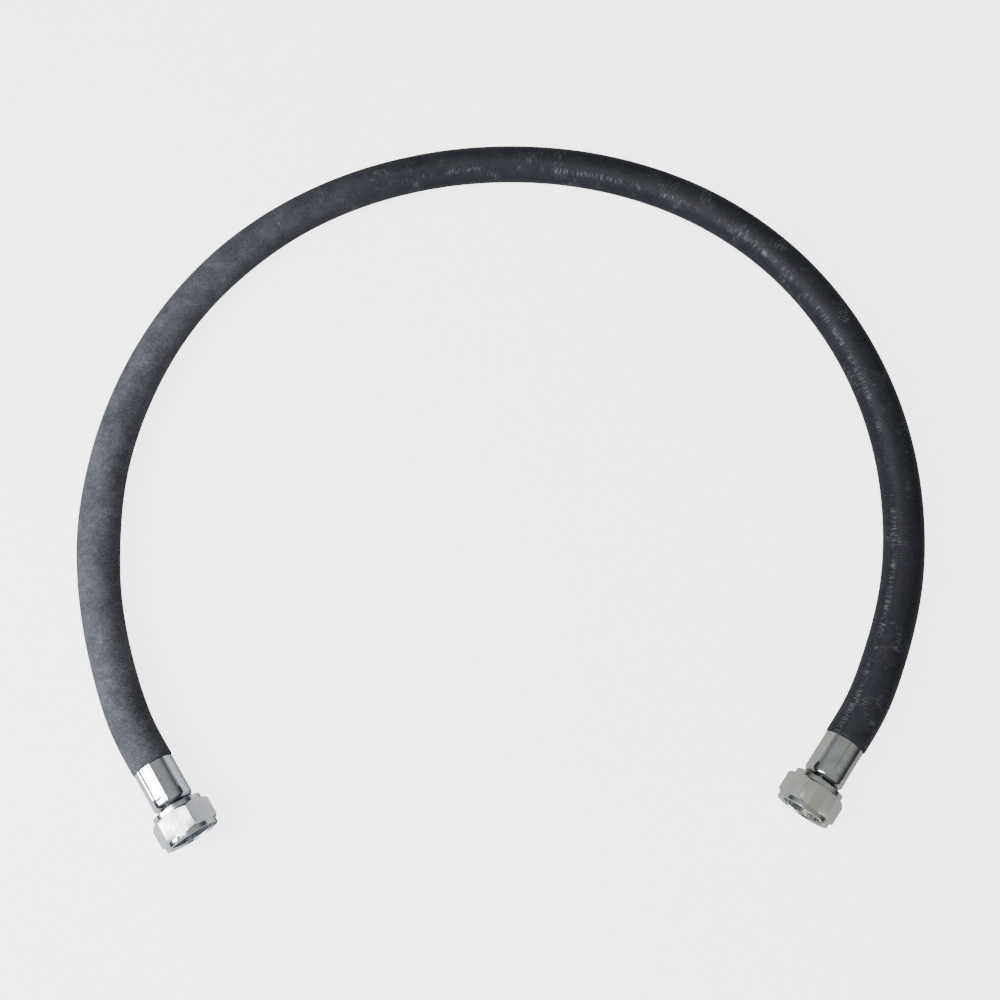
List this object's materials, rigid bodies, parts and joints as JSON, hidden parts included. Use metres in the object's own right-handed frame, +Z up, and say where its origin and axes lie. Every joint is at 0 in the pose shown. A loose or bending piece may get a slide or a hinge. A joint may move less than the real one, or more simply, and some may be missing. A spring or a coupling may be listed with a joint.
{
  "type": "hydraulic hose assembly",
  "caption": "Thick wire-braided rubber hydraulic hose lying in a wide arc, with a crimped steel fitting and a hexagon swivel nut on each end.",
  "frame": {"origin": "on the floor, midway between the two end fittings, measured without the hose", "axes": "+X from fitting a to fitting b, +Y towards the crown of the hose's arc, +Z up"},
  "size_m": [0.8573, 0.7516, 0.0508],
  "materials": {
    "cover_rubber": "matte cloth-wrapped rubber",
    "liner_rubber": "smooth rubber",
    "braid_wire": "brass-coated high-tensile wire",
    "ferrule_zinc": "bright zinc plate",
    "insert_zinc": "bright zinc plate",
    "wire_steel": "drawn wire",
    "nut_zinc": "satin zinc plate",
    "seal_rubber": "satin nitrile rubber"
  },
  "bodies": {
    "hose": {"inner_tube": "liner_rubber", "inner_braid": "braid_wire", "braid_insulation": "liner_rubber", "outer_braid": "braid_wire", "hose_cover": "cover_rubber", "ferrule_a": "ferrule_zinc", "insert_a": "insert_zinc", "thrust_wire_a": "wire_steel", "nose_seal_a": "seal_rubber", "ferrule_b": "ferrule_zinc", "insert_b": "insert_zinc", "thrust_wire_b": "wire_steel", "nose_seal_b": "seal_rubber"},
    "nut_a": {"swivel_nut_a": "nut_zinc"},
    "nut_b": {"swivel_nut_b": "nut_zinc"}
  },
  "joints": [
    {"name": "nut_a_spin", "type": "hinge", "parent": "hose", "child": "nut_a", "pos_m": [-0.3265, 0.0376, 0.0254], "axis": [0.5255, -0.8508, 0], "continuous": true},
    {"name": "nut_b_spin", "type": "hinge", "parent": "hose", "child": "nut_b", "pos_m": [0.3277, 0.029, 0.0254], "axis": [-0.628, -0.7782, 0], "continuous": true}
  ]
}
